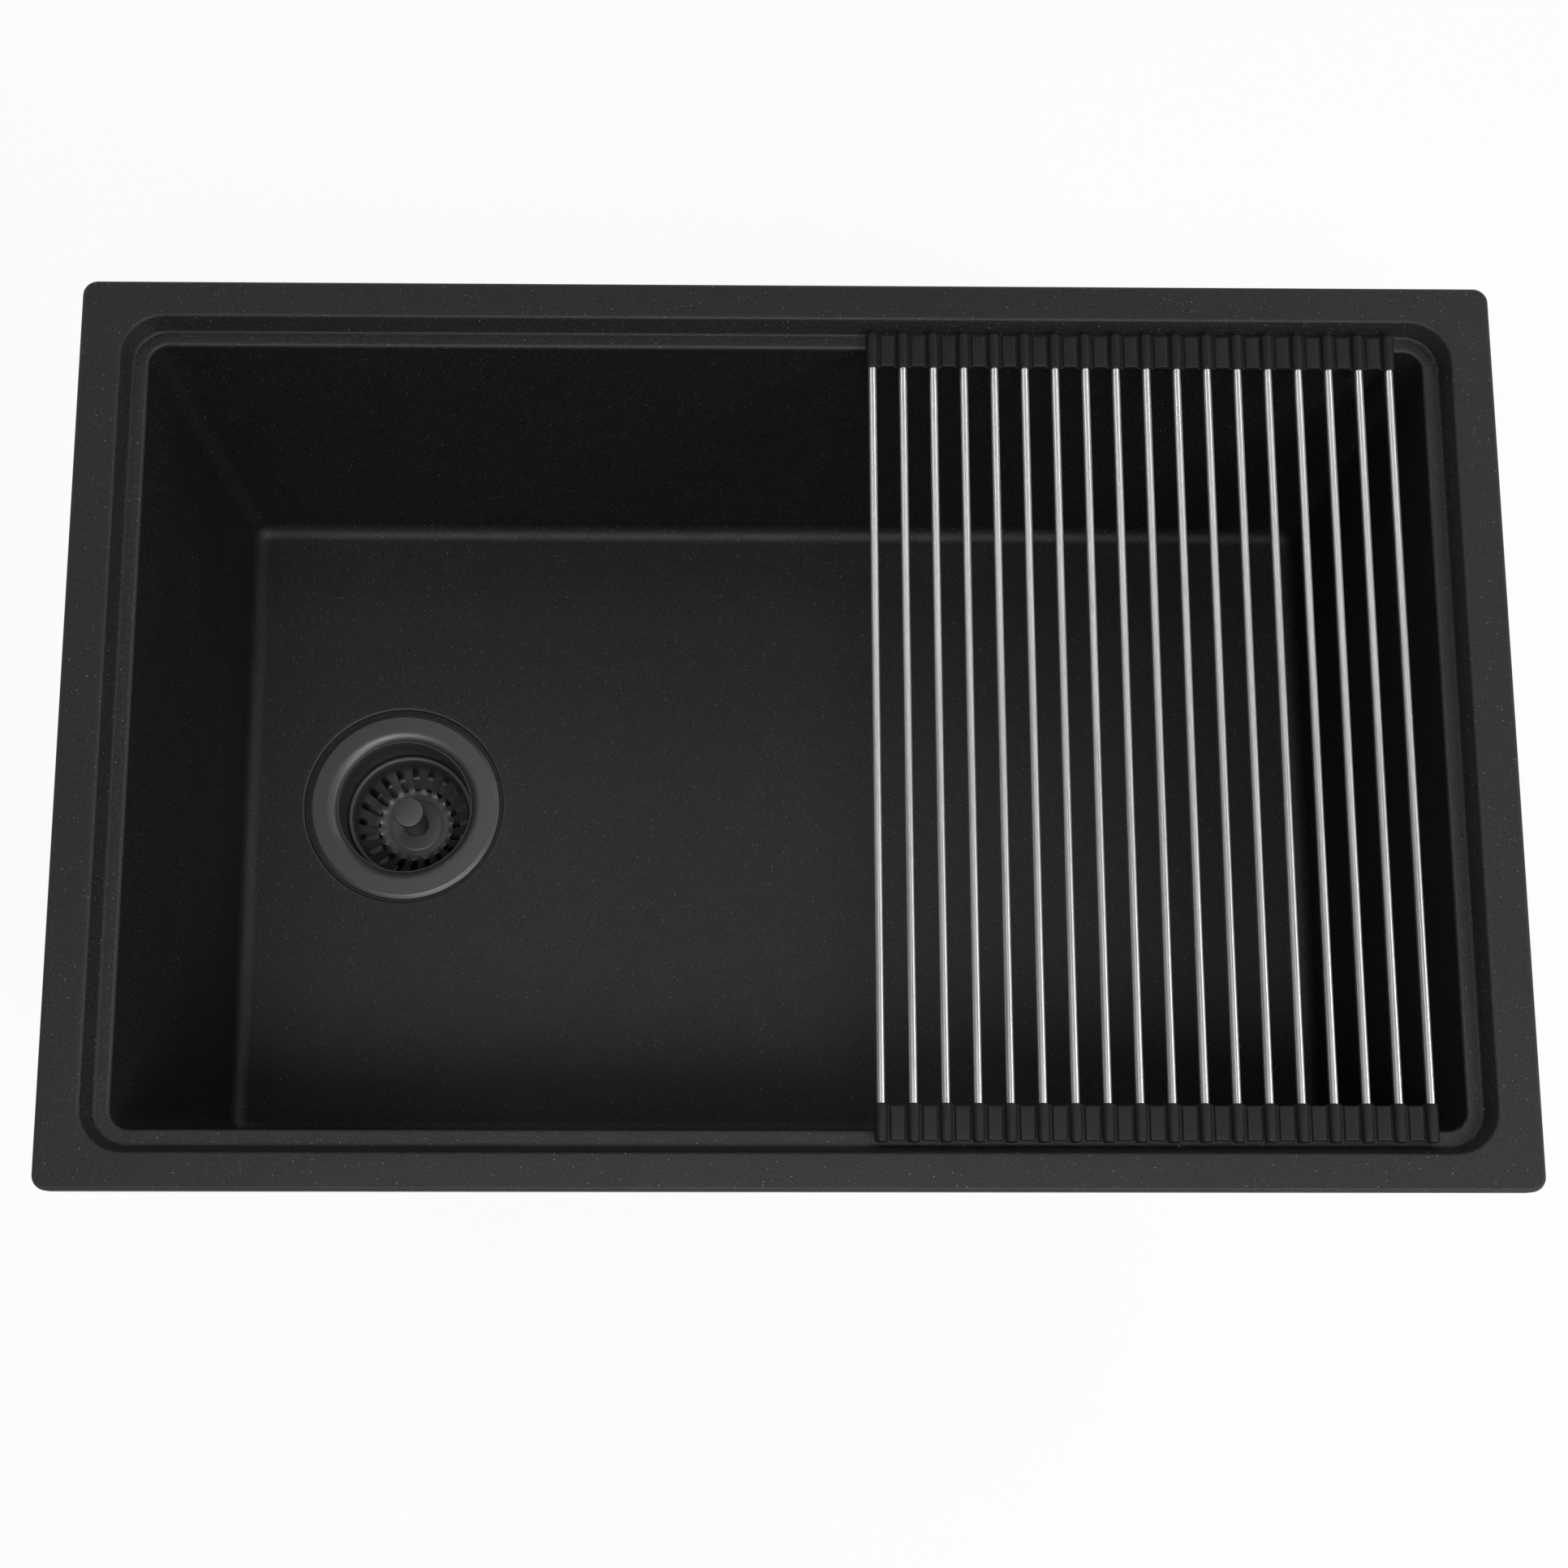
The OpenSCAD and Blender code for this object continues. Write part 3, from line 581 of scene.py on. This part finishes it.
def basketCup():
    line, lengths = cupPath()
    half, count = basket["slotHalf"], basket["slots"]
    first = basket["slotFrom"] - basket["stem"]
    last = first + basket["slotRun"]
    across = [-1, -0.92, -0.7, -0.38, 0, 0.38, 0.7, 0.92, 1]
    ribs = 3
    rows = [0, first * 0.3, first * 0.6, first * 0.8, first * 0.93, first + half, first + half + 2, first + 7,
            first + 10, first + 13, last - half, last + 0.8, last + 3, lengths[-1]]
    firstRow, lastRow = rows.index(first + half), rows.index(last - half)
    points, faces = [], []
    width = len(across) + ribs - 1
    for n, u in enumerate(rows):
        radius = cupPoint(line, lengths, u)[0]
        slotAngle = math.asin(min(0.9, half / max(radius, 20)))
        for k in range(count):
            middle = math.tau * k / count
            for t in across:
                v = u
                if n == firstRow:
                    v = first + half - half * math.sqrt(max(0, 1 - t * t))
                elif n == lastRow:
                    v = last - half + half * math.sqrt(max(0, 1 - t * t))
                r, z = cupPoint(line, lengths, v)
                a = middle + slotAngle * t
                points.append((drain["x"] + r * math.cos(a), drain["y"] + r * math.sin(a), drain["z"] + z))
            gap = math.tau / count - 2 * slotAngle
            for j in range(1, ribs):
                r, z = cupPoint(line, lengths, u)
                a = middle + slotAngle + gap * j / ribs
                points.append((drain["x"] + r * math.cos(a), drain["y"] + r * math.sin(a), drain["z"] + z))
    size = width * count
    for n in range(len(rows) - 1):
        for i in range(size):
            if firstRow <= n < lastRow and i % width < len(across) - 1:
                continue
            j = (i + 1) % size
            faces.append((n * size + i, n * size + j, (n + 1) * size + j, (n + 1) * size + i))
    return points, faces


def thickened(made, thickness, soft, steps=2):
    sheet = made.modifiers.new("sheet", "SOLIDIFY")
    sheet.thickness = thickness * mm
    sheet.offset = 0
    if soft:
        edge = made.modifiers.new("edge", "BEVEL")
        edge.width = soft * mm
        edge.segments = steps
        edge.limit_method = "ANGLE"
        edge.angle_limit = math.radians(50)


cup = addPiece("basket_bowl", *basketCup(), "gunmetal", sharp=60)
thickened(cup, basket["sheet"], 0.25)
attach(cup, "basket")
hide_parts("basket_cup")
rimSection = softened([(38.1, -31.2), (40.3, -30.5), (40.8, -30), (40.8, -28), (38.2, -28)], 0.7, 4)
rim = addPiece("basket_rim", *lathe(rimSection, drainAt, 144), "gunmetal", sharp=60)
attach(rim, "basket")

plateSection = softened([(3.5, -52), (18, -52), (18, -50.8), (17.2, -50.8), (16.9, -50.95), (16.5, -50.8),
                         (3.5, -50.8)], 0.25, 3)
plate = addPiece("basket_disc", *lathe(plateSection, drainAt, 96), "gunmetal", sharp=50)
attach(plate, "basket")
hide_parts("basket_plate")

knobSection = softened([(0, -15.8), (9.8, -15.8), (9.8, -20.4), (7.8, -22.8), (7.8, -47.8), (8.4, -50.8),
                        (3.5, -50.8), (3.5, -26), (0, -26)], 0.55, 4, closed=False)
knob = addPiece("basket_handle", *lathe(knobSection, drainAt, 96, closed=False), "gunmetal", sharp=50)
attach(knob, "basket")
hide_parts("basket_knob")
print("strainer and basket made")


# rack strips: a sleeve on each rod, and a flexible web from sleeve to sleeve
rack = {"rods": 18, "last": 326.25, "pitch": 16.5, "middleY": -0.5, "end": 219.5, "length": 20, "webClear": 3.6}
rackZ = (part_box("rack_rod_09")[0].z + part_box("rack_rod_09")[1].z) / 2 / mm
rodX = [rack["last"] - (rack["rods"] - 1 - k) * rack["pitch"] for k in range(rack["rods"])]
sleeveSection = [(0, 18), (2.33, 18), (2.33, 0.5), (2.5, 0.12), (2.85, 0), (3.15, 0.2), (3.35, 0.7), (3.4, 1.3),
                 (3.4, 10), (3.4, 18.2), (3.3, 19), (2.95, 19.6), (2.3, 19.92), (1.4, 20), (0, 20)]


def sleevePair(x):
    ends = []
    for side in (-1, 1):
        start = rack["middleY"] + side * (rack["end"] - rack["length"])
        section = [(r, side * h) for r, h in sleeveSection]
        ends.append(lathe(section, (x, start, rackZ), 40, closed=False, along="Y"))
    return joined(*ends)


# place across the web, and its top and bottom there
webAcross = [(2.8, 0.45, -0.45), (3.5, 0.45, -0.5), (4.1, 0.5, -0.6), (4.5, 0.9, -1.1), (4.75, 1.4, -1.4),
             (5.2, 1.65, -1.5), (6.4, 1.7, -1.5), (7.6, 1.7, -1.5)]
webAcross += [(rack["pitch"] - u, a, b) for u, a, b in reversed(webAcross)]
# place along the web, and the share of its thickness there
webAlong = [(0, 0.5), (0.2, 0.78), (0.6, 0.95), (1.2, 1), (5, 1), (9, 1)]
webAlong += [(18 - t, f) for t, f in reversed(webAlong[:-1])]


def webPair(x):
    ends = []
    for side in (-1, 1):
        rings = []
        for t, thick in webAlong:
            ring = []
            for high in (True, False):
                row = []
                for u, top, bottom in webAcross:
                    near = max(0, 1 - (min(u, rack["pitch"] - u) - 2.8) / 2.4)
                    out = 0.75 * near * near * (3 - 2 * near)
                    mid = (top + bottom) / 2
                    z = mid + ((top if high else bottom) - mid) * thick
                    y = rack["end"] - 19 + t + out * (2 * t / 18 - 1)
                    row.append((x + u, rack["middleY"] + side * y, rackZ + z))
                ring += row if high else row[::-1]
            rings.append(ring)
        points, faces = skin(rings)
        size = len(rings[0])
        for low in (0, len(points) - size):
            faces += [(low + i, low + i + 1, low + size - 2 - i, low + size - 1 - i)
                      for i in range(size // 2 - 1)]
        ends.append((points, faces))
    return joined(*ends)


for k, x in enumerate(rodX, 1):
    sleeve = addPiece(f"sleeve_{k:02d}", *sleevePair(x), "silicone", sharp=60)
    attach(sleeve, f"rack_{k:02d}")
    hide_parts(f"strip_link_{k:02d}")
    if k < rack["rods"]:
        web = addPiece(f"web_{k:02d}", *webPair(x), "silicone", sharp=70)
        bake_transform(web)
print("rack strips made")


# light
world = bpy.data.worlds.new("studio")
bpy.context.scene.world = world
world.use_nodes = True
sky = world.node_tree
direction = addNode(sky, "ShaderNodeTexCoord").outputs["Generated"]
up = addNode(sky, "ShaderNodeSeparateXYZ", {"Vector": direction}).outputs["Z"]
skyRay = addNode(sky, "ShaderNodeLightPath")
horizon = remap(sky, up, 0.05, 0.25, 1.0, 0.02)
bounced = maths(sky, "MAXIMUM", skyRay.outputs["Is Glossy Ray"], skyRay.outputs["Is Transmission Ray"])
mirrored = maths(sky, "MULTIPLY", bounced, horizon)
shown = maths(sky, "MAXIMUM", maths(sky, "MAXIMUM", skyRay.outputs["Is Camera Ray"], mirrored), 0.02)
sky.links.new(mixColour(sky, shown, grey(0), white), sky.nodes["Background"].inputs["Color"])


lamps = {"aim": Vector((0, 0, -0.1)), "distance": 2.6}


def softLight(name, around, above, size, power):
    data = bpy.data.lights.new(name, "AREA")
    data.shape = "DISK"
    data.size = size
    data.energy = power
    made = bpy.data.objects.new(name, data)
    turn, rise = math.radians(around), math.radians(above)
    toward = Vector((math.cos(rise) * math.cos(turn), math.cos(rise) * math.sin(turn), math.sin(rise)))
    made.location = lamps["aim"] + toward * lamps["distance"]
    made.rotation_euler = (-toward).to_track_quat("-Z", "Y").to_euler()
    bpy.context.scene.collection.objects.link(made)


studio = {  # degrees round from the right-hand side, degrees above, size in metres, watts
    "front_light": (-90, 65, 0.8, 28),
    "rear_light": (90, 70, 0.5, 4),
    "front_right_light": (-45, 40, 0.9, 22),
    "right_light": (0, 35, 0.9, 12),
    "back_right_light": (45, 40, 0.9, 10),
    "front_left_light": (-135, 65, 0.8, 10),
    "back_left_light": (135, 40, 0.9, 8),
    "low_back_light": (90, 20, 0.8, 4),
}
for name, settings in studio.items():
    softLight(name, *settings)

# in metres; shown is how far the camera sees plain white in place of the lit floor
ground = {"half": 6, "z": -0.3635, "tone": 0.9, "shown": 0.9}
floorMesh = bpy.data.meshes.new("floor")
wide, deep = ground["half"], ground["z"]
floorMesh.from_pydata([(-wide, -wide, deep), (wide, -wide, deep), (wide, wide, deep), (-wide, wide, deep)],
                      [], [(0, 1, 2, 3)])
floor = bpy.data.objects.new("floor", floorMesh)
bpy.context.scene.collection.objects.link(floor)
pale, tree, shader, place = newMaterial("floor", Base_Color=grey(ground["tone"]), Roughness=0.8)
ray = addNode(tree, "ShaderNodeLightPath")
seen = maths(tree, "MAXIMUM", ray.outputs["Is Camera Ray"], ray.outputs["Is Glossy Ray"])
seen = maths(tree, "MAXIMUM", seen, ray.outputs["Is Transmission Ray"])
glow = addNode(tree, "ShaderNodeEmission", {"Color": white, "Strength": 1.0})
blend = addNode(tree, "ShaderNodeMixShader", {"Fac": maths(tree, "MULTIPLY", seen, ground["shown"])})
tree.links.new(shader.outputs[0], blend.inputs[1])
tree.links.new(glow.outputs[0], blend.inputs[2])
tree.links.new(blend.outputs[0], tree.nodes["Material Output"].inputs["Surface"])
floorMesh.materials.append(pale)
bpy.context.scene.view_settings.view_transform = "Standard"
print("stage ready")
